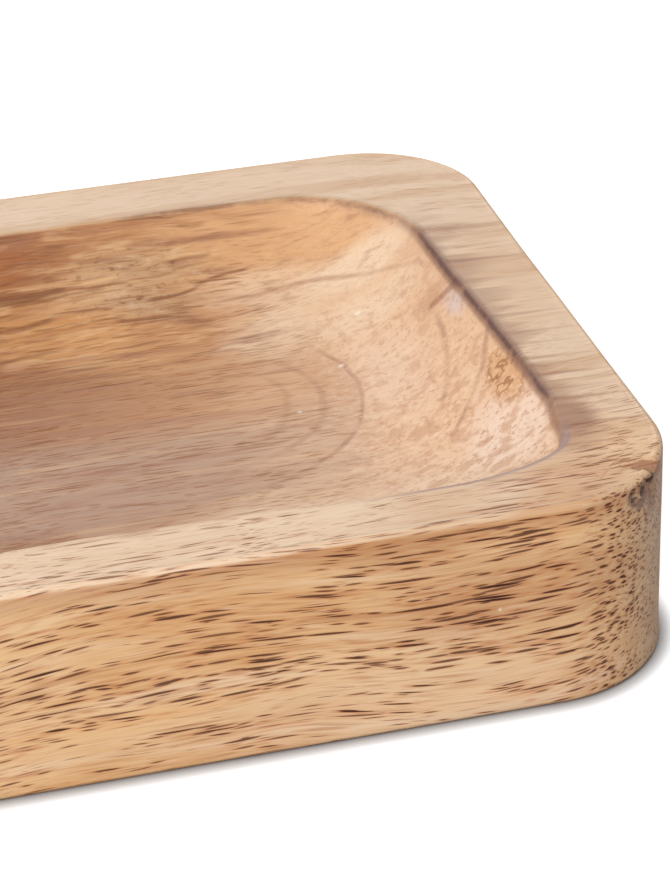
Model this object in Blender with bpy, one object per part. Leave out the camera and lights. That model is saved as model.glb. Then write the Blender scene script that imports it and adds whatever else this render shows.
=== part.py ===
"""Carved wooden soap dish: one oblong block of hardwood with a basin scooped out of its top.

Units are metres and +Z is up. The origin is at the middle of the underside. X runs along the
length of the dish and along the grain, and Y runs across it.
"""

import math

import bmesh
import bpy

# Overall size of the block
DISH_LENGTH = 0.130
DISH_WIDTH = 0.083
DISH_HEIGHT = 0.021

# Roundings of the block
CORNER_RADIUS = 0.0130
TOP_EDGE_RADIUS = 0.0010
BOTTOM_EDGE_RADIUS = 0.0006

# Rim: from the outer face to where it starts to roll over into the basin
RIM_WIDTH = 0.0070
BASIN_CORNER_RADIUS = 0.0148

# The basin lies a little nearer the front, which leaves the front rim the narrower one
BASIN_SHIFT = 0.0012

# Lip: the rim rolls over into a short steep wall
LIP_RADIUS = 0.0016
LIP_WALL_HEIGHT = 0.0006
LIP_START_ANGLE = math.radians(14.0)
LIP_STEEPEST_ANGLE = math.radians(62.0)

# Basin: below the lip a slope curves down all round and levels out into the floor
BASIN_DEPTH = 0.0095
SLOPE_LENGTH = 0.0165
FLOOR_CORNER_RADIUS = 0.0120

# How far the basin's cutter reaches over the rim
CUTTER_OVERRUN = 0.0020

# Smoothness of the roundings
BLOCK_CORNER_SEGMENTS = 12
TOP_EDGE_SEGMENTS = 4
BOTTOM_EDGE_SEGMENTS = 3
BASIN_CORNER_SEGMENTS = 12
LIP_SEGMENTS = 5
SLOPE_SEGMENTS = 10

WOOD_COLOUR = (0.58, 0.34, 0.18, 1.0)
WOOD_ROUGHNESS = 0.5
SMOOTH_ANGLE = math.radians(40.0)


def clear_scene():
    """Remove every object that the scene starts with."""
    for item in list(bpy.data.objects):
        bpy.data.objects.remove(item, do_unlink=True)


def make_collection(name):
    """Return a new collection linked to the scene."""
    collection = bpy.data.collections.new(name)
    bpy.context.scene.collection.children.link(collection)
    return collection


def wood_material():
    """Warm light hardwood with an oiled, satin surface."""
    material = bpy.data.materials.new("Oiled wood")
    material.use_nodes = True
    shader = material.node_tree.nodes["Principled BSDF"]
    shader.inputs["Base Color"].default_value = WOOD_COLOUR
    shader.inputs["Roughness"].default_value = WOOD_ROUGHNESS
    shader.inputs["Metallic"].default_value = 0.0
    material.diffuse_color = WOOD_COLOUR
    return material


def object_from_bmesh(name, shape, collection):
    """Turn a bmesh into a smooth-shaded object in a collection."""
    bmesh.ops.recalc_face_normals(shape, faces=shape.faces)
    mesh = bpy.data.meshes.new(name)
    shape.to_mesh(mesh)
    shape.free()
    mesh.shade_smooth()
    mesh.set_sharp_from_angle(angle=SMOOTH_ANGLE)
    item = bpy.data.objects.new(name, mesh)
    collection.objects.link(item)
    return item


def level_edges(shape, height):
    """Return the edges of a shape that lie nearest to a height, all the way round."""
    reach = DISH_HEIGHT / 2.0
    return [edge for edge in shape.edges if all(abs(vert.co.z - height) < reach for vert in edge.verts)]


def make_block(name, collection, material):
    """The uncarved block: a box with rounded corners and softened edges."""
    shape = bmesh.new()
    bmesh.ops.create_cube(shape, size=1.0)
    bmesh.ops.scale(shape, vec=(DISH_LENGTH, DISH_WIDTH, DISH_HEIGHT), verts=shape.verts)
    bmesh.ops.translate(shape, vec=(0.0, 0.0, DISH_HEIGHT / 2.0), verts=shape.verts)

    # The four upright edges become the corners of the plan
    rims = level_edges(shape, 0.0) + level_edges(shape, DISH_HEIGHT)
    uprights = [edge for edge in shape.edges if edge not in rims]
    bmesh.ops.bevel(shape, geom=uprights, offset=CORNER_RADIUS, offset_type="OFFSET",
                    segments=BLOCK_CORNER_SEGMENTS, profile=0.5, affect="EDGES")

    # The edges round the top and the underside are softened
    bmesh.ops.bevel(shape, geom=level_edges(shape, DISH_HEIGHT), offset=TOP_EDGE_RADIUS,
                    offset_type="OFFSET", segments=TOP_EDGE_SEGMENTS, profile=0.5, affect="EDGES")
    bmesh.ops.bevel(shape, geom=level_edges(shape, 0.0), offset=BOTTOM_EDGE_RADIUS,
                    offset_type="OFFSET", segments=BOTTOM_EDGE_SEGMENTS, profile=0.5, affect="EDGES")

    block = object_from_bmesh(name, shape, collection)
    block.data.materials.append(material)
    return block


def basin_levels():
    """Describe the basin from above the rim down to the floor.

    Each level is (inset, corner radius, height), where the inset is the distance from the place
    at which the rim starts to roll over.
    """
    rim = DISH_HEIGHT
    levels = []

    # Above the rim the cutter widens along the tangent of the lip's first point
    start_in = LIP_RADIUS * math.sin(LIP_START_ANGLE)
    start_down = LIP_RADIUS * (1.0 - math.cos(LIP_START_ANGLE))
    rise = CUTTER_OVERRUN
    run = (rise + start_down) / math.tan(LIP_START_ANGLE)
    outset = start_in - run
    levels.append((outset, BASIN_CORNER_RADIUS - outset, rim + rise))

    # The lip is an arc that ends at its steepest angle
    for step in range(LIP_SEGMENTS + 1):
        share = step / LIP_SEGMENTS
        angle = LIP_START_ANGLE + (LIP_STEEPEST_ANGLE - LIP_START_ANGLE) * share
        inset = LIP_RADIUS * math.sin(angle)
        down = LIP_RADIUS * (1.0 - math.cos(angle))
        levels.append((inset, BASIN_CORNER_RADIUS - inset, rim - down))

    # The short wall below the lip carries on at that angle
    foot_inset = inset + LIP_WALL_HEIGHT / math.tan(LIP_STEEPEST_ANGLE)
    foot_down = down + LIP_WALL_HEIGHT
    foot_radius = BASIN_CORNER_RADIUS - foot_inset
    levels.append((foot_inset, foot_radius, rim - foot_down))

    # From the foot of the wall the basin curves down and levels out into the floor
    for step in range(1, SLOPE_SEGMENTS + 1):
        share = step / SLOPE_SEGMENTS
        fall = 1.0 - (1.0 - share) ** 2
        levels.append((foot_inset + SLOPE_LENGTH * share,
                       foot_radius + (FLOOR_CORNER_RADIUS - foot_radius) * share,
                       rim - foot_down - (BASIN_DEPTH - foot_down) * fall))
    return levels


def rounded_rectangle(half_length, half_width, radius, height):
    """Points of a level rounded rectangle, anticlockwise from the corner at +X and +Y."""
    points = []
    radius = min(radius, half_length, half_width)
    for quarter in range(4):
        side_x = 1.0 if quarter in (0, 3) else -1.0
        side_y = 1.0 if quarter in (0, 1) else -1.0
        centre_x = side_x * (half_length - radius)
        centre_y = side_y * (half_width - radius)
        for step in range(BASIN_CORNER_SEGMENTS + 1):
            angle = math.radians(90.0) * (quarter + step / BASIN_CORNER_SEGMENTS)
            points.append((centre_x + radius * math.cos(angle),
                           centre_y + radius * math.sin(angle),
                           height))
    return points


def make_basin_cutter(name, collection):
    """The hollow of the basin as a solid, lofted through its levels."""
    shape = bmesh.new()
    rings = []
    for inset, radius, height in basin_levels():
        outline = rounded_rectangle(DISH_LENGTH / 2.0 - RIM_WIDTH - inset,
                                    DISH_WIDTH / 2.0 - RIM_WIDTH - inset,
                                    radius, height)
        rings.append([shape.verts.new(point) for point in outline])
    count = len(rings[0])
    for upper, lower in zip(rings, rings[1:]):
        for index in range(count):
            following = (index + 1) % count
            shape.faces.new((upper[index], upper[following], lower[following], lower[index]))
    shape.faces.new(rings[0])
    shape.faces.new(rings[-1])

    cutter = object_from_bmesh(name, shape, collection)
    cutter.location.y = -BASIN_SHIFT
    cutter.hide_render = True
    cutter.display_type = "WIRE"
    return cutter


def carve(block, cutter):
    """Cut the basin out of the block."""
    cut = block.modifiers.new("Basin", "BOOLEAN")
    cut.operation = "DIFFERENCE"
    cut.solver = "EXACT"
    cut.object = cutter


def main():
    clear_scene()
    parts = make_collection("Soap dish")
    cutters = make_collection("Soap dish cutters")
    body = make_block("dish_body", parts, wood_material())
    carve(body, make_basin_cutter("basin_cutter", cutters))


main()
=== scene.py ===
"""Looks of the carved wooden soap dish.

The hand-finished body, its oiled hardwood, the studio and the camera.
"""

import math

import bmesh
import bpy
from mathutils import Euler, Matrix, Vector, noise


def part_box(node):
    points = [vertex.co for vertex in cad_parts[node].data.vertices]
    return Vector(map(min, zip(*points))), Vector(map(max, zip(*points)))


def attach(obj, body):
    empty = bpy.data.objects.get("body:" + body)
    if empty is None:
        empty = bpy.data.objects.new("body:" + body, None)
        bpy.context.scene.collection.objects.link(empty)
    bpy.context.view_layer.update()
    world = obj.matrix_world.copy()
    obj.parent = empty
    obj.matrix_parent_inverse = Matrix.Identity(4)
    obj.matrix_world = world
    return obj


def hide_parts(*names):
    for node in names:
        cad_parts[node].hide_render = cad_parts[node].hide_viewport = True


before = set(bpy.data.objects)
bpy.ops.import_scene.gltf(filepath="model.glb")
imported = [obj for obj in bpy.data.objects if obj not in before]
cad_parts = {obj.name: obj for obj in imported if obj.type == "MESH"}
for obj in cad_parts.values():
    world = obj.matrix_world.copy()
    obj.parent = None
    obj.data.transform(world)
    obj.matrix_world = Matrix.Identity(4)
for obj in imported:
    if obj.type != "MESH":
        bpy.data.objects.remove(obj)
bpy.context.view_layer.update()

MM = 0.001
TURN = 2 * math.pi

# The block, read from the frame
LOW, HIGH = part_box("dish_body")
HALF_LENGTH = (HIGH.x - LOW.x) / 2
HALF_WIDTH = (HIGH.y - LOW.y) / 2
HEIGHT = HIGH.z - LOW.z

# The carving, with the sizes that the CAD solid has
CORNER_RADIUS = 13.0 * MM
BOTTOM_EDGE_RADIUS = 0.6 * MM
RIM_WIDTH = 7.0 * MM
BASIN_CORNER_RADIUS = 14.8 * MM
BASIN_SHIFT = 1.2 * MM
LIP_STEEPEST = math.radians(62)
BASIN_DEPTH = 9.5 * MM
SLOPE_LENGTH = 16.5 * MM
FLOOR_CORNER_RADIUS = 12.0 * MM

# The eased edges, a little crisper than the CAD solid's
TOP_EDGE_RADIUS = 0.7 * MM
LIP_START = 0.4 * MM
LIP_RADIUS = 0.6 * MM
LIP_WALL_HEIGHT = 0.7 * MM

# The basin was finished by hand, so its edge runs in from the plan at the ends, the back and the front.
# A lean makes that grow along the edge. A fade is (start, span) of the place where it sets in.
END_LEAN = 0.040
END_TRIM = 0.85 * MM
END_TRIM_FADE = (-31 * MM, 8 * MM)
END_FADE = (38 * MM, 16 * MM)
BACK_TRIM = 0.80 * MM
LONG_EDGE_FADE = (18 * MM, 14 * MM)
FRONT_LEAN = 0.034
FRONT_LEAN_START = 25 * MM
FRONT_LEAN_LEAST = 9 * MM
FRONT_LEAN_MOST = 20 * MM
FRONT_TRIM = 0.15 * MM
FRONT_CORNER_FADE = (-58 * MM, 10 * MM)
FRONT_SWELL = 0.75 * MM
FRONT_SWELL_FADE = (-34 * MM, 9 * MM)

# Near the front right corner the edge runs out at one place and in at another: (middle, reach, amount)
FULL_CORNER = ((53 * MM, -31 * MM), 5 * MM, 0.45 * MM)
SHY_CORNER = ((57 * MM, -25.5 * MM), 3.5 * MM, 0.50 * MM)

# Unevenness of the hand-cut edge and of the sanded faces: (length, height)
EDGE_WAVE = (17 * MM, 0.22 * MM)
EDGE_RIPPLE = (4 * MM, 0.12 * MM)
SANDING_WAVE = (21 * MM, 0.10 * MM)
SANDING_RIPPLE = (8 * MM, 0.03 * MM)
SANDING_FADE = (0, 4 * MM)

# The rim is sanded flatter: what lies within this depth under the top counts as rim
RIM_SANDING_SHARE = 0.5
RIM_SANDING_DEPTH = 0.1 * MM

# Steps of the mesh round the plan and along the section
CORNER_STEPS = (26, 26, 26, 90)
LONG_STEPS = 130
SHORT_STEPS = 70
BOTTOM_EDGE_STEPS = 5
SIDE_STEPS = 30
TOP_EDGE_STEPS = 6
RIM_STEPS = 22
LIP_STEPS = 10
WALL_STEPS = 2
SLOPE_STEPS = 28
FLOOR_STEPS = 9

# How closely the steps crowd at the top edge, and how near the last ring comes to the floor's middle
SIDE_CROWDING = 1.5
RIM_CROWDING = 1.3
FLOOR_SHARE = 0.97

# Camera, from the edges of the dish in the photograph
CAMERA_PLACE = (-19.33 * MM, -252.0 * MM, 150.4 * MM)
CAMERA_TURN = (61.014, 1.799, -14.473)
CAMERA_LENS_MM = 116.9

# Lamps: (name, place, size, watts)
LAMPS = (
    ("key", (-0.45, -0.56, 0.54), 0.55, 6.65),
    ("back", (0.10, 0.80, 0.45), 0.6, 1.5),
)
LAMP_TARGET = (0.02, 0.0, 0.01)

# White surroundings, dimmer as a light than as a backdrop
WHITE = (1.0, 1.0, 1.0, 1.0)
SKY_LIGHT = 0.42
SKY_SEEN = 1.0

# The white floor, with its tint in the open and in the contact shadow, and the white that lifts it
FLOOR_HALF_SIZE = 3.0
FLOOR_TINT = (0.60, 0.62, 0.645, 1.0)
CONTACT_TINT = (0.30, 0.28, 0.27, 1.0)
CONTACT_REACH = 2.0 * MM
CONTACT_POWER = 3.0
CONTACT_SAMPLES = 16
FLOOR_LIFT = 0.76


# The mesh

def smooth_step(value):
    value = max(0.0, min(1.0, value))
    return value * value * (3.0 - 2.0 * value)


def fade_in(value, fade):
    """Runs smoothly from 0 to 1 over a fade, given as (start, span)."""
    start, span = fade
    return smooth_step((value - start) / span)


def bell(x, y, middle, reach):
    """1 at a place in plan, falling off smoothly around it."""
    return math.exp(-((x - middle[0]) ** 2 + (y - middle[1]) ** 2) / reach ** 2)


def section():
    """Rings of the body from the middle of the underside round to the middle of the basin's floor.

    Each ring is (half length, half width, corner radius, shift to the front, height, carved share),
    where the carved share says how far the ring follows the basin's hand-cut edge.
    """
    rings = []

    def outer(inset, height):
        rings.append((HALF_LENGTH - inset, HALF_WIDTH - inset, CORNER_RADIUS - inset, 0.0, height, 0.0))

    outer(TOP_EDGE_RADIUS, 0.0)
    for step in range(BOTTOM_EDGE_STEPS + 1):
        angle = math.radians(90) * step / BOTTOM_EDGE_STEPS
        outer(BOTTOM_EDGE_RADIUS * (1 - math.sin(angle)), BOTTOM_EDGE_RADIUS * (1 - math.cos(angle)))
    top = HEIGHT - TOP_EDGE_RADIUS
    for step in range(1, SIDE_STEPS):
        share = 1 - (1 - step / SIDE_STEPS) ** SIDE_CROWDING
        outer(0.0, BOTTOM_EDGE_RADIUS + (top - BOTTOM_EDGE_RADIUS) * share)
    for step in range(TOP_EDGE_STEPS + 1):
        angle = math.radians(90) * step / TOP_EDGE_STEPS
        outer(TOP_EDGE_RADIUS * (1 - math.cos(angle)), top + TOP_EDGE_RADIUS * math.sin(angle))

    def inner(inset, radius, height, share):
        rings.append((HALF_LENGTH - RIM_WIDTH - inset, HALF_WIDTH - RIM_WIDTH - inset, radius,
                      BASIN_SHIFT, height, share))

    start = rings[-1]
    inner(LIP_START, BASIN_CORNER_RADIUS - LIP_START, HEIGHT, 1.0)
    finish = rings.pop()
    for step in range(1, RIM_STEPS):
        share = (step / RIM_STEPS) ** RIM_CROWDING
        rings.append(tuple(a + (b - a) * share for a, b in zip(start, finish)))

    for step in range(LIP_STEPS + 1):
        angle = LIP_STEEPEST * step / LIP_STEPS
        inset = LIP_START + LIP_RADIUS * math.sin(angle)
        down = LIP_RADIUS * (1 - math.cos(angle))
        inner(inset, BASIN_CORNER_RADIUS - inset, HEIGHT - down, 1.0)
    lip_inset, lip_down = inset, down
    for step in range(1, WALL_STEPS + 1):
        down = lip_down + LIP_WALL_HEIGHT * step / WALL_STEPS
        inset = lip_inset + (down - lip_down) / math.tan(LIP_STEEPEST)
        inner(inset, BASIN_CORNER_RADIUS - inset, HEIGHT - down, 1.0)

    foot_inset, foot_down = inset, down
    foot_radius = BASIN_CORNER_RADIUS - foot_inset
    for step in range(1, SLOPE_STEPS + 1):
        share = step / SLOPE_STEPS
        fall = 1 - (1 - share) ** 2
        inner(foot_inset + SLOPE_LENGTH * share,
              foot_radius + (FLOOR_CORNER_RADIUS - foot_radius) * share,
              HEIGHT - foot_down - (BASIN_DEPTH - foot_down) * fall, (1 - share) ** 2)

    floor_inset = foot_inset + SLOPE_LENGTH
    half_floor = HALF_WIDTH - RIM_WIDTH - floor_inset
    for step in range(1, FLOOR_STEPS + 1):
        share = FLOOR_SHARE * step / FLOOR_STEPS
        radius = FLOOR_CORNER_RADIUS * (1 - share)
        inner(floor_inset + half_floor * share, radius, HEIGHT - BASIN_DEPTH, 0.0)
    return rings


def plan_ring(half_length, half_width, radius, shift):
    """Points of a rounded rectangle as (x, y), with as many points on every ring."""
    points = []
    for quarter in range(4):
        side_x = 1 if quarter in (0, 3) else -1
        side_y = 1 if quarter in (0, 1) else -1
        centre_x = side_x * (half_length - radius)
        centre_y = side_y * (half_width - radius) - shift
        for step in range(CORNER_STEPS[quarter]):
            angle = math.radians(90) * (quarter + step / CORNER_STEPS[quarter])
            points.append((centre_x + radius * math.cos(angle), centre_y + radius * math.sin(angle)))
        angle = math.radians(90) * (quarter + 1)
        from_x = centre_x + radius * math.cos(angle)
        from_y = centre_y + radius * math.sin(angle)
        along_x = quarter in (0, 2)
        run = -2 * centre_x if along_x else -2 * (centre_y + shift)
        steps = LONG_STEPS if along_x else SHORT_STEPS
        for step in range(steps):
            share = step / steps
            points.append((from_x + run * share * along_x, from_y + run * share * (not along_x)))
    return points


def hand_cut(x, y):
    """How far the basin's edge strays from its plan at a place, in metres."""
    wave = noise.noise(Vector((x, y, 0.0)) / EDGE_WAVE[0]) * EDGE_WAVE[1]
    ripple = noise.noise(Vector((x, y, 5 * MM)) / EDGE_RIPPLE[0]) * EDGE_RIPPLE[1]
    middle, reach, amount = FULL_CORNER
    fuller = amount * bell(x, y, middle, reach)
    middle, reach, amount = SHY_CORNER
    shyer = amount * bell(x, y, middle, reach)
    outward = Vector((x / HALF_LENGTH, (y + BASIN_SHIFT) / HALF_WIDTH, 0.0)).normalized()
    stray = outward * (wave + ripple + fuller - shyer)
    end_shift = END_LEAN * y + END_TRIM * fade_in(y, END_TRIM_FADE)
    stray.x -= math.copysign(1.0, x) * end_shift * fade_in(abs(x), END_FADE)
    stray.y -= BACK_TRIM * fade_in(y, LONG_EDGE_FADE)
    leaning = max(FRONT_LEAN_LEAST, min(FRONT_LEAN_MOST, x - FRONT_LEAN_START))
    front_shift = FRONT_LEAN * leaning - FRONT_TRIM + FRONT_SWELL * fade_in(-x, FRONT_SWELL_FADE)
    stray.y += front_shift * fade_in(-y, LONG_EDGE_FADE) * fade_in(-x, FRONT_CORNER_FADE)
    return stray


def sanded(x, y, z):
    """Gentle unevenness that sanding by hand leaves, in metres, never above zero."""
    broad = noise.noise(Vector((x, y, z)) / SANDING_WAVE[0] + Vector((3, 1, 7)))
    fine = noise.noise(Vector((x, y, z)) / SANDING_RIPPLE[0] + Vector((9, 4, 2)))
    return -(SANDING_WAVE[1] * (1 + broad) + SANDING_RIPPLE[1] * (1 + fine))


# Splinters broken off the corner, as flat cuts in millimetres:
# (point, direction out of the wood, centre, radii)
CUTS = (
    ((61.0, -36.4, 20.45), (0.05, -0.42, 0.91), (61.6, -36.2, 20.6), (2.3, 1.0, 1.4)),
    ((60.2, -38.2, 18.9), (0.70, -0.68, 0.20), (60.7, -38.0, 18.9), (1.5, 1.5, 1.4)),
    ((59.1, -39.0, 19.3), (0.50, -0.84, 0.20), (59.3, -38.9, 19.4), (0.9, 0.9, 0.8)),
)

# Small pits in the broken wood: (centre, radius)
CHIP_PITS = (
    ((61.3, -37.0, 19.8), 0.50),
    ((60.4, -38.1, 19.3), 0.42),
    ((58.9, -39.3, 19.9), 0.42),
    ((59.1, -39.1, 19.0), 0.36),
)

# The broken wood as a whole, its roughness as (length, height), and how far a pit sinks, in millimetres
CHIP_MIDDLE = (60.3, -37.5, 19.5)
CHIP_REACH = 5.0
CHIP_OUTLINE = (0.7, 0.20)
CHIP_ROUGHNESS = (0.45, 0.16)
CUT_FADE = (-1.15, 0.25)
PIT_FADE = (-1.1, 0.6)
PIT_SINK = (-0.20, 0.25, -0.05)


def chipped(place):
    """Moves a point that lies beyond one of the cuts back onto it."""
    moved = place / MM
    if (moved - Vector(CHIP_MIDDLE)).length > CHIP_REACH:
        return place
    for point, direction, centre, radii in CUTS:
        over = (moved - Vector(point)).dot(Vector(direction))
        away = Vector([(moved[i] - centre[i]) / radii[i] for i in range(3)]).length
        away += CHIP_OUTLINE[1] * noise.noise(moved / CHIP_OUTLINE[0])
        rough = CHIP_ROUGHNESS[1] * noise.noise(moved / CHIP_ROUGHNESS[0])
        moved -= Vector(direction) * max(0.0, over + rough) * fade_in(-away, CUT_FADE)
    for centre, radius in CHIP_PITS:
        away = (moved - Vector(centre)).length / radius
        moved += Vector(PIT_SINK) * fade_in(-away, PIT_FADE)
    return moved * MM


def build_body():
    """The carved block as one closed mesh.

    It remembers how far inside the basin's edge each point lies, in millimetres.
    """
    verts = []
    insets = []
    rings = section()
    for half_length, half_width, radius, shift, height, share in rings:
        for x, y in plan_ring(half_length, half_width, radius, shift):
            insets.append((HALF_LENGTH - RIM_WIDTH - half_length) / MM)
            out = Vector((x / HALF_LENGTH, (y + shift) / HALF_WIDTH, 0.0)).normalized()
            place = Vector((x, y, height)) + hand_cut(x, y) * share
            if height > BOTTOM_EDGE_RADIUS:
                if shift > 0:
                    on_rim = height >= HEIGHT - RIM_SANDING_DEPTH
                    place.z += sanded(x, y, height) * (RIM_SANDING_SHARE if on_rim else 1.0)
                else:
                    place += out * sanded(x, y, height) * fade_in(height, SANDING_FADE)
            verts.append(chipped(place))
    count = len(plan_ring(*rings[0][:4]))
    faces = []
    for ring in range(len(rings) - 1):
        for index in range(count):
            following = (index + 1) % count
            low, high = ring * count, (ring + 1) * count
            faces.append((low + index, low + following, high + following, high + index))
    faces.append(tuple(reversed(range(count))))
    last = (len(rings) - 1) * count
    faces.append(tuple(range(last, last + count)))
    mesh = bpy.data.meshes.new("carved_dish")
    mesh.from_pydata(verts, [], faces)
    mesh.validate()
    mesh.attributes.new("inset", "FLOAT", "POINT").data.foreach_set("value", insets)
    mesh.shade_smooth()
    body = bpy.data.objects.new("carved_dish", mesh)
    bpy.context.scene.collection.objects.link(body)
    return body


# Node maths in short

# The colour sockets of a Mix node
MIX_FIRST = 6
MIX_SECOND = 7
MIX_RESULT = 2

# How far each seed moves a pattern, in its own cells
SEED_STEPS = (3.1, 1.7, 2.3)


def srgb(red, green, blue):
    """A colour given as 0 to 255 per channel, as Blender's linear colour."""
    def linear(value):
        value /= 255
        return value / 12.92 if value <= 0.04045 else ((value + 0.055) / 1.055) ** 2.4
    return (linear(red), linear(green), linear(blue), 1.0)


class Field:
    """A number that varies over the surface, with Python's own arithmetic."""

    def __init__(self, graph, socket):
        self.graph = graph
        self.socket = socket

    def __add__(self, other):
        return self.graph.calc("ADD", self, other)

    def __mul__(self, other):
        return self.graph.calc("MULTIPLY", self, other)

    def __sub__(self, other):
        return self.graph.calc("SUBTRACT", self, other)

    def __rsub__(self, other):
        return self.graph.calc("SUBTRACT", other, self)

    def __truediv__(self, other):
        return self.graph.calc("DIVIDE", self, other)

    def __abs__(self):
        return self.graph.calc("ABSOLUTE", self)


class Graph:
    """Short names for the node maths that a material is made of."""

    def __init__(self, name):
        self.material = bpy.data.materials.new(name)
        self.material.use_nodes = True
        self.tree = self.material.node_tree
        self.shader = self.tree.nodes["Principled BSDF"]

    def node(self, kind, **settings):
        node = self.tree.nodes.new(kind)
        for name, value in settings.items():
            setattr(node, name, value)
        return node

    def plug(self, socket, value):
        if isinstance(value, Field):
            value = value.socket
        if isinstance(value, bpy.types.NodeSocket):
            self.tree.links.new(value, socket)
        else:
            socket.default_value = value

    def calc(self, operation, *values):
        node = self.node("ShaderNodeMath", operation=operation)
        for socket, value in zip(node.inputs, values):
            self.plug(socket, value)
        return Field(self, node.outputs[0])

    def vector(self, operation, *values):
        node = self.node("ShaderNodeVectorMath", operation=operation)
        for socket, value in zip(node.inputs, values):
            self.plug(socket, value)
        return node.outputs["Vector"]

    def scale(self, vector, factor):
        node = self.node("ShaderNodeVectorMath", operation="SCALE")
        self.plug(node.inputs[0], vector)
        self.plug(node.inputs["Scale"], factor)
        return node.outputs["Vector"]

    def length(self, vector):
        node = self.node("ShaderNodeVectorMath", operation="LENGTH")
        self.plug(node.inputs[0], vector)
        return Field(self, node.outputs["Value"])

    def combine(self, x, y, z):
        node = self.node("ShaderNodeCombineXYZ")
        for socket, value in zip(node.inputs, (x, y, z)):
            self.plug(socket, value)
        return node.outputs[0]

    def split(self, vector):
        node = self.node("ShaderNodeSeparateXYZ")
        self.plug(node.inputs[0], vector)
        return [Field(self, socket) for socket in node.outputs]

    def smooth(self, value, start, finish, low=0.0, high=1.0):
        """Runs smoothly from low to high as value goes from start to finish."""
        node = self.node("ShaderNodeMapRange", interpolation_type="SMOOTHSTEP")
        for socket, given in zip(node.inputs, (value, start, finish, low, high)):
            self.plug(socket, given)
        return Field(self, node.outputs[0])

    def stretch(self, place, sizes, seed):
        """Place measured in cells of the given sizes, moved by a seed."""
        scaled = self.vector("DIVIDE", place, sizes)
        return self.vector("ADD", scaled, tuple(seed * step for step in SEED_STEPS))

    def noise(self, place, sizes, seed, detail=2.0, roughness=0.5):
        """Soft noise from about 0 to 1."""
        node = self.node("ShaderNodeTexNoise")
        self.plug(node.inputs["Vector"], self.stretch(place, sizes, seed))
        self.plug(node.inputs["Scale"], 1.0)
        self.plug(node.inputs["Detail"], detail)
        self.plug(node.inputs["Roughness"], roughness)
        return Field(self, node.outputs[0])

    def mix(self, share, first, second):
        node = self.node("ShaderNodeMix", data_type="RGBA")
        self.plug(node.inputs[0], share)
        self.plug(node.inputs[MIX_FIRST], first)
        self.plug(node.inputs[MIX_SECOND], second)
        return node.outputs[MIX_RESULT]

    def ball(self, place, centre, radii, edge=0.35):
        """1 inside a soft ellipsoid, 0 outside."""
        away = self.length(self.vector("DIVIDE", self.vector("SUBTRACT", place, centre), radii))
        return self.smooth(away, 1.0 + edge, 1.0 - edge)

    def loop(self, place, centre, half, radius):
        """Distance in plan from a rounded rectangle, below zero inside it."""
        x, y, _ = self.split(place)
        over_x = abs(x - centre[0]) - (half[0] - radius)
        over_y = abs(y - centre[1]) - (half[1] - radius)
        beyond_x = self.calc("MAXIMUM", over_x, 0.0)
        beyond_y = self.calc("MAXIMUM", over_y, 0.0)
        outside = self.length(self.combine(beyond_x, beyond_y, 0.0))
        inside = self.calc("MINIMUM", self.calc("MAXIMUM", over_x, over_y), 0.0)
        return outside + inside - radius

    def stroke(self, place, start, finish, width):
        """1 on a thin straight line in plan, 0 beside it."""
        run = (finish[0] - start[0], finish[1] - start[1])
        span = math.hypot(*run)
        x, y, _ = self.split(place)
        along = ((x - start[0]) * run[0] + (y - start[1]) * run[1]) * (1 / span ** 2)
        aside = abs((x - start[0]) * (run[1] / span) - (y - start[1]) * (run[0] / span))
        ends = self.smooth(abs(along - 0.5), 0.5, 0.3)
        return self.smooth(aside, width, width * 0.2) * ends


# The wood: colours
TAN = srgb(233, 190, 141)
TAN_DEEP = srgb(216, 163, 110)
TAN_DARK = srgb(190, 134, 88)
CREAM = srgb(238, 210, 180)
ORANGE = srgb(226, 166, 104)
FIBRE = srgb(186, 128, 84)
# Pale rim top, partly painted sheen
RIM_PALE_AND_SHEEN = srgb(227, 198, 169)
RIM_GREY = srgb(206, 168, 134)
RIM_LINE = srgb(158, 110, 80)
RIM_WARM = srgb(206, 160, 120)
PEACH = srgb(230, 192, 160)
# Cream of the end slopes, and painted light on the lit front right corner of the basin
CREAM_AND_PAINTED_LIGHT = srgb(241, 213, 191)
SLOPE_BROWN = srgb(200, 152, 118)
CURL_BROWN = srgb(150, 94, 56)
FLOOR_TAN = srgb(190, 136, 90)
FLOOR_BROWN = srgb(144, 90, 52)
# Painted sheen: the greyer front of the basin's floor
FLOOR_SHEEN_GREY = srgb(177, 146, 125)
RED_BROWN = srgb(156, 96, 56)
GREY_TAN = srgb(190, 158, 122)
BLOTCH = srgb(122, 76, 48)
RING_BROWN = srgb(160, 108, 82)
VESSEL = srgb(66, 32, 18)
VESSEL_TIP = srgb(186, 108, 60)
END_GREY = srgb(178, 152, 134)
# Burn and painted shade in the crease under the lip, and painted shade fanning over the rim beside it
BURN_AND_SHADE = srgb(96, 68, 66)
BURN_AND_SHADE_BROWN = srgb(108, 64, 40)
BURN_AND_SHADE_COOL = srgb(140, 112, 118)
FAN_SHADE = srgb(152, 106, 78)
PINK_GREY = srgb(216, 194, 186)
SPECK_AND_GLINT = srgb(246, 236, 218)
CHIP_RED = srgb(156, 104, 76)
CHIP_PIT_SHADE = srgb(66, 46, 36)
BRUISE_AND_SHADE = srgb(128, 98, 84)

# Where the vessels crowd together on the front, or are sparser where the amount is below zero, in
# millimetres: (centre, radii, amount)
CROWDS = (
    ((44.5, -41.5, 13.4), (6.5, 6.0, 1.9), 0.20),
    ((22.8, -41.5, 12.9), (4.5, 6.0, 1.2), 0.20),
    ((31.5, -41.5, 13.4), (9.0, 6.0, 1.8), 0.13),
    ((38.0, -41.5, 18.2), (5.0, 6.0, 1.4), 0.14),
    ((12.0, -41.5, 10.0), (4.0, 6.0, 1.2), 0.16),
    ((50.0, -41.5, 12.0), (14.0, 9.0, 9.0), 0.05),
    ((58.0, -39.0, 12.0), (7.0, 7.0, 12.0), 0.05),
    ((30.0, -41.5, 3.0), (26.0, 6.0, 3.8), -0.13),
)

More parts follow.
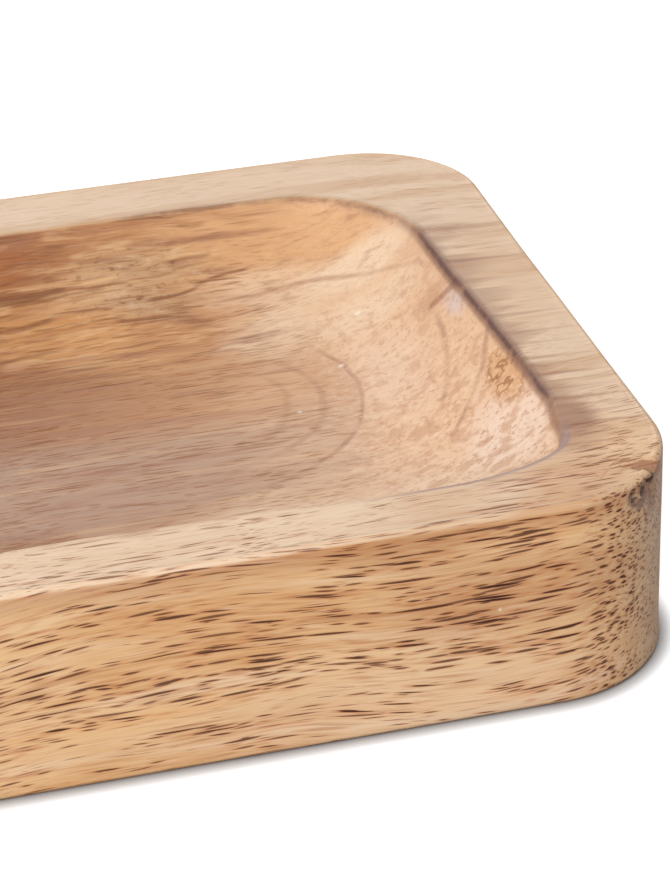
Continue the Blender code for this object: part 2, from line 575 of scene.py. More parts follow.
# Browner and paler areas of the front: (centre, radii, softness, colour, strength)
FRONT_TINTS = (
    ((48.0, -41.5, 12.8), (12.0, 6.0, 4.2), 0.50, TAN_DARK, 0.55),
    ((37.2, -41.5, 18.8), (6.0, 6.0, 2.0), 0.60, TAN_DARK, 0.50),
    ((38.0, -41.5, 3.0), (20.0, 6.0, 5.0), 0.60, CREAM, 0.35),
)

# Dark lines along the grain on the right end of the rim: (y at x 60, width, strength)
RIM_LINES = (
    (18.1, 1.50, 0.60),
    (13.6, 0.60, 0.25),
    (9.9, 0.60, 0.85),
    (5.0, 0.60, 0.20),
    (-3.4, 0.50, 0.55),
    (-7.6, 0.40, 0.40),
    (-10.2, 0.35, 0.35),
    (-13.3, 0.40, 0.55),
    (-17.0, 0.50, 0.75),
    (-18.6, 0.35, 0.55),
    (-20.1, 0.35, 0.50),
    (-22.2, 0.55, 0.80),
    (-23.8, 0.35, 0.50),
    (-25.3, 0.35, 0.55),
    (-27.4, 0.50, 0.75),
    (-29.3, 0.35, 0.50),
    (-31.2, 0.35, 0.45),
)

# Where the rim is warmer and browner: (centre, radii, strength)
WARM_RIM = (
    ((56.5, -26.0, 21.0), (2.8, 7.0, 4.0), 0.70),
    ((54.3, -37.0, 21.0), (4.6, 5.4, 4.0), 0.85),
    ((51.5, -40.6, 21.0), (4.0, 2.2, 4.0), 0.80),
    ((41.6, -37.3, 21.0), (4.5, 3.0, 4.0), 0.40),
    ((60.5, 6.0, 21.0), (4.0, 9.0, 4.0), 0.35),
)

# Stains and pale patches in the basin, ragged along the grain: (centre, radii, softness, colour, strength)
BASIN_PATCHES = (
    ((14.0, 22.0, 13.0), (12.0, 4.5, 3.0), 0.50, ORANGE, 0.50),
    ((10.5, 15.6, 11.8), (5.0, 4.0, 3.0), 0.45, RED_BROWN, 0.50),
    ((5.0, 30.0, 17.5), (13.0, 4.2, 3.6), 0.40, RED_BROWN, 0.85),
    ((27.0, 26.5, 15.5), (7.5, 4.5, 4.0), 0.50, GREY_TAN, 0.70),
    ((20.0, 26.4, 15.0), (4.0, 2.5, 3.0), 0.60, TAN, 0.40),
    ((23.5, 18.2, 12.0), (8.0, 4.0, 2.5), 0.60, TAN_DEEP, 0.60),
    ((30.5, 18.4, 12.0), (6.0, 3.0, 2.5), 0.60, TAN_DARK, 0.50),
    ((45.0, 28.5, 18.0), (14.0, 6.5, 5.0), 0.70, TAN_DEEP, 0.65),
    ((16.0, -24.5, 13.5), (36.0, 6.0, 5.0), 0.60, CREAM, 0.80),
    ((31.5, -19.6, 13.2), (8.5, 4.0, 4.0), 0.60, CREAM, 0.50),
    ((38.5, 16.6, 12.8), (5.0, 3.5, 3.0), 0.70, CREAM, 0.60),
    ((39.5, 24.0, 14.0), (5.0, 2.2, 2.5), 0.60, CREAM, 0.50),
)

# Smaller ones with a steadier outline
BASIN_SPOTS = (
    ((49.0, 21.8, 17.0), (10.0, 2.5, 4.0), 0.40, CREAM, 0.85),
    ((48.0, 15.0, 15.8), (9.0, 3.2, 4.0), 0.50, CREAM, 0.70),
    # Painted light on the lit slope at the front right corner
    ((53.8, -20.0, 17.6), (4.6, 7.0, 4.5), 0.45, CREAM_AND_PAINTED_LIGHT, 0.88),
    ((55.6, 4.6, 18.8), (1.3, 2.6, 1.6), 0.50, PINK_GREY, 0.90),
    ((53.4, 8.0, 17.9), (2.6, 1.9, 2.0), 0.60, SLOPE_BROWN, 0.70),
    ((55.6, -12.0, 18.9), (2.1, 4.6, 2.4), 0.45, TAN_DEEP, 0.75),
    ((41.0, 20.0, 13.5), (4.0, 2.0, 2.5), 0.60, CREAM, 0.45),
    ((47.5, 3.0, 14.2), (4.0, 9.0, 3.0), 0.60, CREAM_AND_PAINTED_LIGHT, 0.35),
)

# Curly grain at the end of the basin, as (centre, radii, softness)
CURLY_PATCH = ((55.6, -12.0, 18.9), (1.9, 4.2, 2.2), 0.35)

# Dark streaks on the back wall, along the grain: (from, to, half width, strength)
WALL_STREAKS = (
    ((7.0, 26.6), (20.0, 26.9), 0.50, 0.80),
    ((6.0, 23.6), (18.0, 24.2), 0.50, 0.70),
    ((26.0, 24.6), (33.0, 25.4), 0.32, 0.80),
    ((31.5, 25.6), (39.0, 26.4), 0.28, 0.65),
    ((22.5, 22.6), (29.5, 22.9), 0.34, 0.80),
    ((29.0, 28.0), (35.0, 28.4), 0.30, 0.50),
    ((4.0, 19.5), (15.0, 20.0), 0.45, 0.55),
    ((6.0, 14.0), (22.0, 14.6), 0.40, 0.45),
)

# Arcs of growth rings on the slope at the end: (centre, radius, y from, y to, strength)
SLOPE_ARCS = (
    ((22.5, 6.2), 31.0, -11.0, 7.0, 0.55),
    ((23.6, 9.5), 35.1, -16.0, -2.0, 0.55),
    ((41.3, 9.5), 14.2, 12.0, 27.0, 0.50),
    ((42.5, 11.5), 17.6, 19.0, 29.0, 0.25),
)

# Stretches of the wall under the lip that are darkened, partly burnt by the cutter and partly painted
# shade: (centre, radii, softness, strength)
BURNT_AND_SHADED_STRETCHES = (
    ((57.5, 0.0, 20.0), (5.0, 23.0, 5.0), 0.15, 0.95),
    ((53.0, 27.0, 20.0), (8.0, 7.5, 5.0), 0.40, 0.50),
    ((33.5, 33.0, 20.0), (8.0, 4.0, 5.0), 0.45, 0.62),
    ((42.0, 32.0, 20.0), (8.0, 4.0, 5.0), 0.50, 0.45),
)

# Bruised wood below the splinter, partly painted shade on its broken facets: (centre, radii, strength)
BRUISES_AND_SHADE = (
    ((61.5, -37.2, 18.3), (1.2, 1.2, 2.2), 0.55),
    # Painted shade on the broken facet that faces away
    ((59.7, -38.8, 18.3), (1.2, 0.9, 0.45), 0.85),
    ((60.6, -38.0, 18.9), (0.6, 0.6, 1.0), 0.75),
    ((58.9, -39.3, 19.6), (0.7, 0.7, 0.7), 0.60),
)

# Dust specks, and on the front face a painted glint in a pore: (centre, radius)
SPECKS_AND_GLINT = (
    ((37.6, 0.3, 11.5), 0.28),
    ((43.9, 8.0, 11.9), 0.30),
    ((47.8, 15.7, 13.7), 0.36),
    # A painted glint in a pore of the front face
    ((45.8, -41.5, 11.3), 0.20),
)


# The board's grain rises and falls along its length, and draws together near the ends, in millimetres
GRAIN_WAVE_LENGTH = 54
GRAIN_WAVE_START = 31
GRAIN_WAVE_HEIGHT = 0.86
GRAIN_END = 52.0
GRAIN_END_PULL = 0.0002

# Growth rings on the end grain, round a pith below the block: (y, z) of the pith and the ring spacing
PITH = (16.0, -38.0)
RING_SPACING = 5.2

# How the oiled surface takes the light
ROUGHNESS_WOOD = 0.46
ROUGHNESS_VESSEL = 0.75
SPECULAR = 0.30
BUMP_STRENGTH = 0.4
BUMP_DEPTH = 0.05 * MM


def grain_flow(g, place):
    """Bends the place so that fibres along X rise, fall and draw together as the board's grain does."""
    x, y, z = g.split(place)
    phase = x * (TURN / GRAIN_WAVE_LENGTH) - TURN * GRAIN_WAVE_START / GRAIN_WAVE_LENGTH
    wave = g.calc("SINE", phase) * GRAIN_WAVE_HEIGHT
    drift = g.noise(place, (38, 22, 22), 1, 1) * 4.0 - 2.0
    small = g.noise(place, (10, 4, 4), 3, 1) * 0.8 - 0.4
    sway = g.noise(place, (34, 20, 20), 2, 1) * 1.8 - 0.9
    past = g.calc("MAXIMUM", abs(x) - GRAIN_END, 0.0)
    bent_y = y + y * past * past * GRAIN_END_PULL + sway + small * 0.25
    return g.combine(x, bent_y, z + wave + drift + small)


def vessels(g, flow, length, width, seed, crowd, radius, lean=0.05):
    """Vessels cut open by the surface: tapered dashes along the fibres, dots on end grain.

    The radius of the widest ones is in millimetres, as length and width of the cells are.
    """
    place = g.stretch(flow, (length, width, width), seed)
    cells = g.node("ShaderNodeTexVoronoi", feature="F1")
    g.plug(cells.inputs["Vector"], place)
    g.plug(cells.inputs["Scale"], 1.0)
    along, over_y, over_z = g.split(g.vector("SUBTRACT", place, cells.outputs["Position"]))
    first, second, third = g.split(cells.outputs["Color"])
    tilted = over_z + along * (first - 0.5) * (2 * lean * length / width)
    across = g.length(g.combine(0.0, over_y, tilted)) * width
    reach = second * 0.26 + 0.22
    thick = g.smooth(crowd + third * 0.34, 0.51, 0.80, 0.02, radius)
    away = g.calc("POWER", abs(along) / reach, 1.7) + across / thick
    strength = first * 0.30 + 0.70
    core = g.smooth(away, 1.02, 0.75) * strength
    halo = g.smooth(away, 2.2, 0.8) * strength
    return core, halo


def tinted(g, place, colour, tints, share):
    """Mixes soft patches of colour in, each given as (centre, radii, softness, colour, strength)."""
    for centre, radii, softness, tint, strength in tints:
        colour = g.mix(g.ball(place, centre, radii, softness) * strength * share, colour, tint)
    return colour


def ground(g, place, flow):
    """The tan ground of the block, in soft clouds and bands along the fibres."""
    cloud = g.noise(flow, (26, 5, 5), 5, 3, 0.55)
    colour = g.mix(g.smooth(cloud, 0.42, 0.66, 0.0, 0.8), TAN, TAN_DEEP)
    band = g.noise(flow, (40, 1.8, 1.8), 21, 2, 0.6)
    colour = g.mix(g.smooth(band, 0.52, 0.72, 0.0, 0.45), colour, ORANGE)
    colour = g.mix(g.smooth(band, 0.46, 0.30, 0.0, 0.40), colour, CREAM)
    return tinted(g, place, colour, FRONT_TINTS, 1.0)


def slope_grain(g, place):
    """The fine crumbly grain that a cutter leaves on end grain."""
    return g.noise(place, (0.80, 0.70, 0.70), 30, 3, 0.7)


def basin_colour(g, place, flow, colour, hollow):
    """The carved hollow: peach slopes, darker heartwood on the floor and the contours of growth rings."""
    x, y, _ = g.split(place)
    warp = g.noise(place, (12, 7, 7), 11, 2)
    warp_y = g.noise(place, (9, 4, 4), 12, 2)
    uneven = g.vector("ADD", place, g.combine(warp * 1.6 - 0.8, warp_y * 1.6 - 0.8, 0.0))
    ragged_x = g.noise(flow, (8, 3, 3), 15, 2) * 9.0 - 4.5
    ragged_y = g.noise(flow, (10, 2.5, 2.5), 16, 2) * 5.0 - 2.5
    ragged = g.vector("ADD", place, g.combine(ragged_x, ragged_y, 0.0))
    colour = g.mix(hollow * 0.72, colour, PEACH)

    # Heartwood: browner away from the end, greyer towards the front as painted sheen, a little darker
    # inside the contour
    feather = g.noise(flow, (20, 1.8, 1.8), 17, 2, 0.6) * 16.0 - 8.0
    heart = g.mix(g.smooth(x, 34.0, 4.0), FLOOR_TAN, FLOOR_BROWN)
    front_sheen = g.smooth(y + feather * 0.2, 4.0, -4.0) * g.smooth(y + feather * 0.1, -19.0, -14.0)
    heart = g.mix(front_sheen * 0.75, heart, FLOOR_SHEEN_GREY)
    contour = g.loop(uneven, (-20.0, 4.0), (64.5, 17.8), 17.8)
    inside = g.smooth(contour + feather * g.smooth(x, 44.0, 30.0, 0.0, 0.4), 0.5, -2.6)
    left_end = g.smooth(x + feather, -60.0, -34.0, 0.45, 1.0)
    share = g.smooth(x + feather * 0.8, 50.0, 24.0, 0.0, 0.95) * left_end
    colour = g.mix(g.calc("MAXIMUM", share, inside * 0.48) * hollow, colour, heart)
    outline = g.smooth(abs(contour), 0.50, 0.05)
    shade = g.smooth(contour, 0.2, -0.2) * g.smooth(contour, -2.6, -0.4) * 0.35
    inner = g.smooth(abs(contour + 4.1), 0.7, 0.1) * 0.6
    innermost = g.smooth(abs(contour + 7.6), 0.6, 0.1) * 0.4
    rings = g.calc("MAXIMUM", g.calc("MAXIMUM", outline, shade), g.calc("MAXIMUM", inner, innermost))
    shown = g.smooth(y, 15.0, 9.0) * g.smooth(x, 14.0, 36.0)
    broken = g.smooth(g.noise(place, (4, 4, 4), 18, 2), 0.34, 0.60, 0.35, 1.0)
    colour = g.mix(rings * hollow * shown * broken * 0.68, colour, RING_BROWN)

    colour = tinted(g, ragged, colour, BASIN_PATCHES, hollow)
    colour = tinted(g, uneven, colour, BASIN_SPOTS, hollow)

    # Soft streaks along the floor, and blotches on the back wall
    flat = g.calc("MAXIMUM", g.smooth(x, 46.0, 34.0), g.smooth(y, 17.0, 23.0) * 0.7) * hollow
    long_streak = g.noise(flow, (26, 1.3, 1.3), 22, 3, 0.6)
    colour = g.mix(g.smooth(long_streak, 0.50, 0.68, 0.0, 0.60) * flat, colour, RING_BROWN)
    colour = g.mix(g.smooth(long_streak, 0.46, 0.30, 0.0, 0.28) * flat, colour, TAN)
    thin_streak = g.noise(flow, (9, 0.50, 0.50), 23, 1)
    dark_side = g.smooth(y, -16.0, 10.0, 0.45, 1.0) * g.smooth(x, 46.0, 34.0) * hollow
    colour = g.mix(g.smooth(thin_streak, 0.58, 0.72, 0.0, 0.60) * dark_side, colour, BLOTCH)
    blotch = g.noise(flow, (6, 1.2, 1.2), 24, 2)
    wall = g.smooth(y, 14.0, 20.0) * g.smooth(x, 44.0, 30.0)
    colour = g.mix(g.smooth(blotch, 0.54, 0.70, 0.0, 0.50) * wall * hollow, colour, BLOTCH)
    colour = g.mix(g.smooth(blotch, 0.46, 0.32, 0.0, 0.40) * wall * hollow, colour, TAN)
    dots = g.noise(flow, (1.3, 0.8, 0.8), 29, 2, 0.6)
    dotted = g.ball(ragged, (26.0, 26.5, 15.5), (8.0, 5.0, 4.5), 0.6)
    colour = g.mix(g.smooth(dots, 0.56, 0.74, 0.0, 0.75) * dotted * hollow, colour, BLOTCH)
    colour = g.mix(g.smooth(dots, 0.46, 0.30, 0.0, 0.22) * dotted * hollow, colour, CREAM)
    for start, finish, width, strength in WALL_STREAKS:
        colour = g.mix(g.stroke(uneven, start, finish, width) * strength * hollow, colour, BLOTCH)

    # End grain on the slopes at the ends is crumbly, and curly at one place
    slope = g.smooth(abs(x), 36.0, 44.0) * g.smooth(y, 22.0, 12.0, 0.20, 1.0) * hollow
    slope = slope * g.smooth(y, 6.0, -14.0, 0.90, 1.35)
    fine_grain = slope_grain(g, place)
    coarse_grain = g.noise(place, (2.6, 1.8, 1.8), 31, 2)
    colour = g.mix(g.smooth(fine_grain, 0.52, 0.66, 0.0, 0.60) * slope, colour, SLOPE_BROWN)
    colour = g.mix(g.smooth(fine_grain, 0.48, 0.30, 0.0, 0.36) * slope, colour, CREAM_AND_PAINTED_LIGHT)
    colour = g.mix(g.smooth(coarse_grain, 0.50, 0.66, 0.0, 0.48) * slope, colour, SLOPE_BROWN)
    curls = g.smooth(abs(g.noise(place, (2.0, 1.5, 1.5), 35, 2) - 0.5), 0.07, 0.02)
    curly = g.ball(uneven, *CURLY_PATCH)
    colour = g.mix(curls * curly * hollow * 0.75, colour, CURL_BROWN)

    # The contours of growth rings on the slope at the end
    for centre, radius, low, high, strength in SLOPE_ARCS:
        from_centre = g.length(g.combine(x - centre[0], y - centre[1], 0.0))
        line = g.smooth(abs(from_centre - radius + warp * 1.6 - 0.8), 0.50, 0.05) * broken
        line = line * g.smooth(y, low, low + 4.0) * g.smooth(y, high, high - 3.0)
        right_side = g.smooth(x, centre[0] - 6.0, centre[0] - 2.0)
        colour = g.mix(line * right_side * strength * hollow, colour, RING_BROWN)
    notch = g.stroke(uneven, (53.0, 7.4), (56.4, 6.3), 0.80)
    return g.mix(notch * hollow * 0.70, colour, RING_BROWN)


def rim_colour(g, place, flow, colour, rim):
    """The rim: paler, partly as painted sheen on its top, with dark lines along the grain that crowd
    together towards the front.
    """
    x, y, _ = g.split(place)
    broad = g.noise(flow, (60, 2.8, 2.8), 13, 1)
    ground_colour = g.mix(g.smooth(broad, 0.46, 0.72), RIM_PALE_AND_SHEEN, RIM_GREY)
    front = g.smooth(y, -28.0, -36.0) * g.smooth(x, 43.0, 31.0)
    ground_colour = g.mix(front * 0.62, ground_colour, CREAM)
    pale_corner = g.ball(place, (60.5, -33.0, 21.0), (3.5, 7.0, 4.0), 0.5)
    ground_colour = g.mix(pale_corner * 0.60, ground_colour, TAN)
    for centre, radii, strength in WARM_RIM:
        ground_colour = g.mix(g.ball(place, centre, radii, 0.5) * strength, ground_colour, RIM_WARM)
    # The top of the rim is paler, partly painted sheen
    colour = g.mix(rim * 0.84, colour, ground_colour)
    thin = g.noise(flow, (8, 0.24, 0.24), 14, 1)
    near = g.smooth(y, 0.0, -22.0, 0.06, 1.0)
    colour = g.mix(g.smooth(thin, 0.65, 0.70, 0.0, 0.85) * rim * near, colour, RIM_LINE)
    level = y + (x - 60.0) * 0.06 + g.noise(place, (14, 5, 5), 25, 1) * 1.0 - 0.5
    taper = g.smooth(x, 65.0, 56.0, 0.6, 1.5)
    reach = g.smooth(x, 52.0, 55.0) * g.smooth(x, 65.0, 58.0, 0.30, 1.15)
    for place_y, width, strength in RIM_LINES:
        line = g.smooth(abs(level - place_y), taper * width, 0.0) * reach
        colour = g.mix(line * rim * strength, colour, RIM_LINE)
    return colour


def crease_colour(g, place, flow, colour, inset):
    """The steep wall under the lip is darkened, partly burnt by the cutter and partly painted shade, and
    painted shade falls in brown bands on the rim beside it.
    """
    x = g.split(place)[0]
    burnt_and_shaded = g.noise(place, (5, 5, 5), 26, 1) * 0.25
    for centre, radii, softness, strength in BURNT_AND_SHADED_STRETCHES:
        burnt_and_shaded = g.calc("MAXIMUM", burnt_and_shaded, g.ball(place, centre, radii, softness) * strength)
    mottle = g.noise(place, (1.8, 1.8, 1.8), 27, 2)
    burnt_and_shaded = burnt_and_shaded * g.smooth(mottle, 0.25, 0.60, 0.60, 1.0)

    # Painted shade in brown bands fans out over the rim from the burnt and shaded stretch, level with the
    # rim's own fibres
    along, aside, _ = g.split(flow)
    bands = g.noise(g.combine(along, aside, 0.0), (30, 2.6, 2.6), 28, 1)
    beside = g.ball(place, (58.0, -5.0, 21.0), (8.0, 27.0, 3.0), 0.2)
    reach = g.smooth(bands, 0.38, 0.64, 0.0, -4.5)
    fan_shade = g.smooth(inset, reach, 0.9) * g.smooth(inset, 1.5, 1.1) * beside
    dark_corner = g.ball(place, (57.6, -25.6, 21.0), (2.4, 3.6, 3.0), 0.5) * g.smooth(inset, 1.5, 1.0)
    fan_shade = g.calc("MAXIMUM", fan_shade * 0.60, dark_corner * 0.80)
    colour = g.mix(fan_shade, colour, FAN_SHADE)

    # The line itself, burn and painted shade, lies where the rim ends at the back, and on the wall at the
    # end
    centre_line = g.smooth(x, 40.0, 53.0, 0.66, 0.90) + mottle * 0.24 - 0.12
    softness = g.smooth(x, 44.0, 54.0, 0.36, 0.58)
    half_width = g.smooth(x, 44.0, 54.0, 0.40, 0.34)
    soft = g.smooth(abs(inset - centre_line + 0.10), 0.70, 0.15) * softness
    line = g.smooth(abs(inset - centre_line), half_width, 0.05)
    scorch_and_shade = g.mix(g.smooth(x, 46.0, 54.0), BURN_AND_SHADE_BROWN, BURN_AND_SHADE)
    colour = g.mix(g.calc("MAXIMUM", soft, line) * burnt_and_shaded, colour, scorch_and_shade)

    # From the front, the lip hides that wall, and the line of burn and painted shade shows on its rounding
    front = g.ball(place, (49.0, -33.0, 20.5), (12.0, 7.0, 4.0), 0.4)
    edge = g.smooth(inset, 0.05, 0.45) * g.smooth(inset, 1.3, 0.9)
    return g.mix(edge * front * 0.66, colour, BURN_AND_SHADE_COOL)


def chip_colour(g, place, colour):
    """Scratches, dust, a painted glint, and the bruised corner with painted shade in its pits and on a
    broken facet.
    """
    scratches = g.stroke(place, (61.3, -32.1), (55.7, -38.5), 0.15)
    scratches = scratches + g.stroke(place, (60.5, -33.4), (55.2, -38.4), 0.10) * 0.6
    z = g.split(place)[2]
    skips = g.smooth(g.noise(place, (0.9, 0.9, 0.9), 32, 1), 0.40, 0.56, 0.35, 1.0)
    colour = g.mix(scratches * skips * g.smooth(z, 20.6, 20.8) * 0.65, colour, FIBRE)
    for centre, radius in SPECKS_AND_GLINT:
        colour = g.mix(g.ball(place, centre, (radius, radius, radius), 0.5) * 0.55, colour, SPECK_AND_GLINT)
    torn = g.noise(place, (0.8, 0.5, 0.5), 33, 2)
    ragged = g.vector("ADD", place, g.combine(torn * 0.8 - 0.4, torn * 0.8 - 0.4, torn * 1.2 - 0.6))
    colour = g.mix(g.ball(ragged, (61.6, -36.0, 20.3), (2.1, 0.8, 0.8), 0.3) * 0.80, colour, CHIP_RED)
    for centre, radii, strength in BRUISES_AND_SHADE:
        colour = g.mix(g.ball(ragged, centre, radii, 0.5) * strength, colour, BRUISE_AND_SHADE)
    # Painted shade in the pits of the broken wood
    for centre, radius in CHIP_PITS:
        colour = g.mix(g.ball(ragged, centre, (radius, radius, radius), 0.4) * 0.90, colour, CHIP_PIT_SHADE)
    return colour


def fibre_colour(g, place, colour, streak, fibre, rim, hollow, end_slope):
    """Brown and cream fibres, calmer on the rim and on the basin's end slopes."""
    y = g.split(place)[1]
    calm_rim = rim * g.smooth(y, -34.0, -12.0, 0.66, 0.80)
    side = (1.0 - calm_rim - hollow * 0.45) * (1.0 - end_slope * 0.85)
    colour = g.mix(g.smooth(streak, 0.52, 0.72, 0.0, 0.62) * side, colour, FIBRE)
    plain = 1.0 - end_slope * 0.7 - calm_rim * 0.5
    colour = g.mix(g.smooth(fibre, 0.53, 0.76, 0.0, 0.38) * plain, colour, FIBRE)
    return g.mix(g.smooth(fibre, 0.47, 0.25, 0.0, 0.32) * (1.0 - hollow * 0.6), colour, CREAM)


def vessel_colour(g, place, flow, colour, nx, inset, rim, hollow, end_slope):
    """Adds the vessels, and also returns how deep in a vessel each place is.

    They are fainter on the rim, in the basin and most of all on the rounded lip and the end slopes.
    """
    y = g.split(place)[1]
    crowd = g.noise(flow, (13, 2.6, 2.6), 8, 2)
    for centre, radii, amount in CROWDS:
        crowd = crowd + g.ball(place, centre, radii, 0.5) * amount
    on_end = g.smooth(abs(nx), 0.45, 0.90)
    crowd = crowd - on_end * 0.04 - rim * 0.09
    core, halo = vessels(g, flow, 6.6, 0.40, 1, crowd, 0.14)
    long_core, long_halo = vessels(g, flow, 11.0, 0.56, 2, crowd, 0.13, 0.02)
    short_core, short_halo = vessels(g, flow, 3.6, 0.34, 3, crowd + 0.02, 0.11)
    core = g.calc("MAXIMUM", g.calc("MAXIMUM", core, long_core), short_core * 0.85)
    halo = g.calc("MAXIMUM", g.calc("MAXIMUM", halo, long_halo), short_halo)
    lip = g.smooth(inset, -1.6, 0.2) * g.smooth(inset, 3.0, 1.8)
    rim_fading = rim * g.smooth(y, -34.0, -20.0, 0.30, 0.90)
    shown = (1.0 - rim_fading - hollow * 0.72) * (1.0 - lip * 0.75)
    shown = shown * (1.0 - end_slope * 0.75) * (1.0 - on_end * 0.30)
    colour = g.mix(halo * shown * 0.62, colour, VESSEL_TIP)
    return g.mix(core * shown, colour, VESSEL), core


def end_grain_colour(g, place, colour, nx, nz, inset, core):
    """End grain drinks more oil, so it is darker and greyer, and it shows the growth rings."""
    _, y, z = g.split(place)
    end = g.smooth(abs(nx), 0.35, 1.0, 0.0, 0.58) * g.smooth(abs(nz), 0.75, 0.3)
    colour = g.mix(end * (1.0 - core * 0.7), colour, END_GREY)
    from_pith = g.length(g.combine(0.0, y - PITH[0], z - PITH[1]))
    from_pith = from_pith + g.noise(place, (12, 9, 9), 34, 1) * 2.4
    ring = g.smooth(g.calc("SINE", from_pith * (TURN / RING_SPACING)), 0.1, 1.0)
    flat_end = g.smooth(abs(nx), 0.90, 0.99) * g.smooth(inset, -6.0, -6.8)
    return g.mix(ring * flat_end * 0.34, colour, FIBRE)


def wood_material():
    """Oiled light hardwood, from the ground colour up to the handling marks."""
    g = Graph("oiled_hardwood")
    coordinates = g.node("ShaderNodeTexCoord")
    place = g.scale(coordinates.outputs["Object"], 1 / MM)
    nx, _, nz = g.split(coordinates.outputs["Normal"])
    inset = Field(g, g.node("ShaderNodeAttribute", attribute_name="inset").outputs["Fac"])
    flow = grain_flow(g, place)
    x, _, z = g.split(place)
    upward = g.smooth(nz, 0.12, 0.50)
    rim = upward * g.smooth(inset, 0.9, 0.5)
    hollow = g.smooth(inset, 0.6, 1.0)
    end_slope = g.smooth(abs(x), 36.0, 46.0) * hollow
    streak = g.noise(flow, (16, 0.42, 0.42), 6, 2, 0.6)
    fibre = g.noise(flow, (5.0, 0.14, 0.14), 7, 1)

    colour = ground(g, place, flow)
    colour = basin_colour(g, place, flow, colour, hollow)
    colour = rim_colour(g, place, flow, colour, rim)
    colour = fibre_colour(g, place, colour, streak, fibre, rim, hollow, end_slope)

    # Just under the top edge the wood is browner
    under_edge = g.smooth(z, 17.6, 20.2) * (1.0 - upward) * g.smooth(inset, -6.0, -6.8)
    colour = g.mix(under_edge * 0.52, colour, FIBRE)

    colour, core = vessel_colour(g, place, flow, colour, nx, inset, rim, hollow, end_slope)
    colour = end_grain_colour(g, place, colour, nx, nz, inset, core)
    colour = crease_colour(g, place, flow, colour, inset)
    colour = chip_colour(g, place, colour)
    g.plug(g.shader.inputs["Base Color"], colour)
    roughness = g.smooth(core, 0.0, 1.0, ROUGHNESS_WOOD, ROUGHNESS_VESSEL)
    g.plug(g.shader.inputs["Roughness"], roughness + fibre * 0.12 - 0.06)
    g.shader.inputs["Specular IOR Level"].default_value = SPECULAR

    # Relief: sunken vessels, raised fibres and the crumbly end slopes
    bump = g.node("ShaderNodeBump")
    bump.inputs["Strength"].default_value = BUMP_STRENGTH
    bump.inputs["Distance"].default_value = BUMP_DEPTH
    crumbs = slope_grain(g, place) * end_slope
    g.plug(bump.inputs["Height"], fibre * 0.4 + streak * 0.3 - core + crumbs * 2.5)
    g.plug(g.shader.inputs["Normal"], bump.outputs["Normal"])
    return g.material


# The studio

def make_camera():
    data = bpy.data.cameras.new("camera")
    data.sensor_fit = "VERTICAL"
    data.sensor_height = 36.0
    data.lens = CAMERA_LENS_MM
    data.clip_start = 0.01
    camera = bpy.data.objects.new("camera", data)
    camera.location = CAMERA_PLACE
    camera.rotation_euler = Euler([math.radians(turn) for turn in CAMERA_TURN])
    bpy.context.scene.collection.objects.link(camera)
    bpy.context.scene.camera = camera


def area_light(name, place, size, watts):
    data = bpy.data.lights.new(name, "AREA")
    data.shape = "SQUARE"
    data.size = size
    data.energy = watts
    lamp = bpy.data.objects.new(name, data)
    lamp.location = place
    lamp.rotation_euler = (Vector(LAMP_TARGET) - Vector(place)).to_track_quat("-Z", "Y").to_euler()
    bpy.context.scene.collection.objects.link(lamp)


def make_world():
    """White surroundings: what is seen or mirrored is pure white, and what lights the dish is dimmer."""
    world = bpy.data.worlds.new("studio")
    world.use_nodes = True
    tree = world.node_tree
    tree.nodes.clear()
    output = tree.nodes.new("ShaderNodeOutputWorld")
    glow = tree.nodes.new("ShaderNodeBackground")
    glow.inputs["Strength"].default_value = SKY_LIGHT
    backdrop = tree.nodes.new("ShaderNodeBackground")
    backdrop.inputs["Strength"].default_value = SKY_SEEN
    path = tree.nodes.new("ShaderNodeLightPath")
    either = tree.nodes.new("ShaderNodeMath")
    either.operation = "MAXIMUM"
    mix = tree.nodes.new("ShaderNodeMixShader")
    tree.links.new(path.outputs["Is Camera Ray"], either.inputs[0])
    tree.links.new(path.outputs["Is Glossy Ray"], either.inputs[1])
    for sky in (glow, backdrop):
        sky.inputs["Color"].default_value = WHITE
    tree.links.new(either.outputs[0], mix.inputs[0])
    tree.links.new(glow.outputs[0], mix.inputs[1])
    tree.links.new(backdrop.outputs[0], mix.inputs[2])
    tree.links.new(mix.outputs[0], output.inputs["Surface"])
    bpy.context.scene.world = world


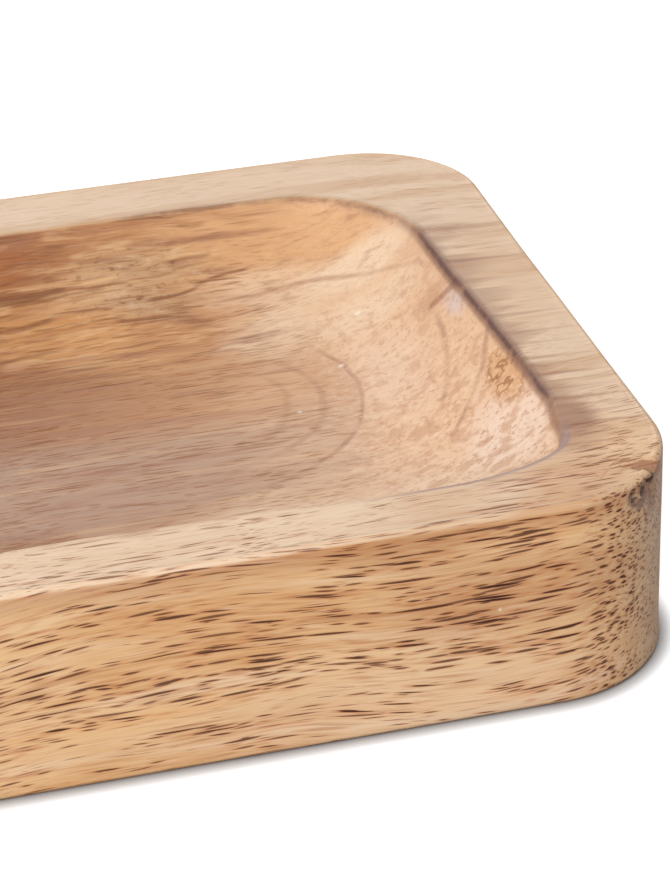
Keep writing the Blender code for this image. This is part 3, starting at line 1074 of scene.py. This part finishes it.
def floor_material():
    """A matt white floor that the camera sees lifted to pure white, except in the contact shadow."""
    material = bpy.data.materials.new("white_sweep")
    material.use_nodes = True
    tree = material.node_tree
    tree.nodes.clear()
    output = tree.nodes.new("ShaderNodeOutputMaterial")
    matt = tree.nodes.new("ShaderNodeBsdfDiffuse")
    lift = tree.nodes.new("ShaderNodeEmission")
    path = tree.nodes.new("ShaderNodeLightPath")

    # The white lift fades where the dish stands close, so its contact shadow stays
    contact = tree.nodes.new("ShaderNodeAmbientOcclusion")
    contact.samples = CONTACT_SAMPLES
    contact.inputs["Distance"].default_value = CONTACT_REACH
    deeper = tree.nodes.new("ShaderNodeMath")
    deeper.operation = "POWER"
    deeper.inputs[1].default_value = CONTACT_POWER
    tone = tree.nodes.new("ShaderNodeMix")
    tone.data_type = "RGBA"
    tone.inputs[MIX_FIRST].default_value = CONTACT_TINT
    tone.inputs[MIX_SECOND].default_value = FLOOR_TINT
    open_share = tree.nodes.new("ShaderNodeMath")
    open_share.operation = "MULTIPLY"
    open_share.inputs[1].default_value = FLOOR_LIFT
    amount = tree.nodes.new("ShaderNodeMath")
    amount.operation = "MULTIPLY"
    both = tree.nodes.new("ShaderNodeAddShader")
    tree.links.new(contact.outputs["AO"], deeper.inputs[0])
    tree.links.new(deeper.outputs[0], tone.inputs[0])
    tree.links.new(tone.outputs[MIX_RESULT], matt.inputs["Color"])
    tree.links.new(deeper.outputs[0], open_share.inputs[0])
    tree.links.new(open_share.outputs[0], amount.inputs[1])
    tree.links.new(path.outputs["Is Camera Ray"], amount.inputs[0])
    tree.links.new(amount.outputs[0], lift.inputs["Strength"])
    tree.links.new(matt.outputs[0], both.inputs[0])
    tree.links.new(lift.outputs[0], both.inputs[1])
    tree.links.new(both.outputs[0], output.inputs["Surface"])
    return material


def make_floor():
    mesh = bpy.data.meshes.new("studio_floor")
    shape = bmesh.new()
    bmesh.ops.create_grid(shape, x_segments=1, y_segments=1, size=FLOOR_HALF_SIZE)
    shape.to_mesh(mesh)
    shape.free()
    floor = bpy.data.objects.new("studio_floor", mesh)
    bpy.context.scene.collection.objects.link(floor)
    mesh.materials.append(floor_material())


bpy.context.scene.view_settings.view_transform = "Standard"
make_camera()
make_world()
make_floor()
for name, place, size, watts in LAMPS:
    area_light(name, place, size, watts)

dish = build_body()
dish.data.materials.append(wood_material())
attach(dish, "root")
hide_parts("dish_body")
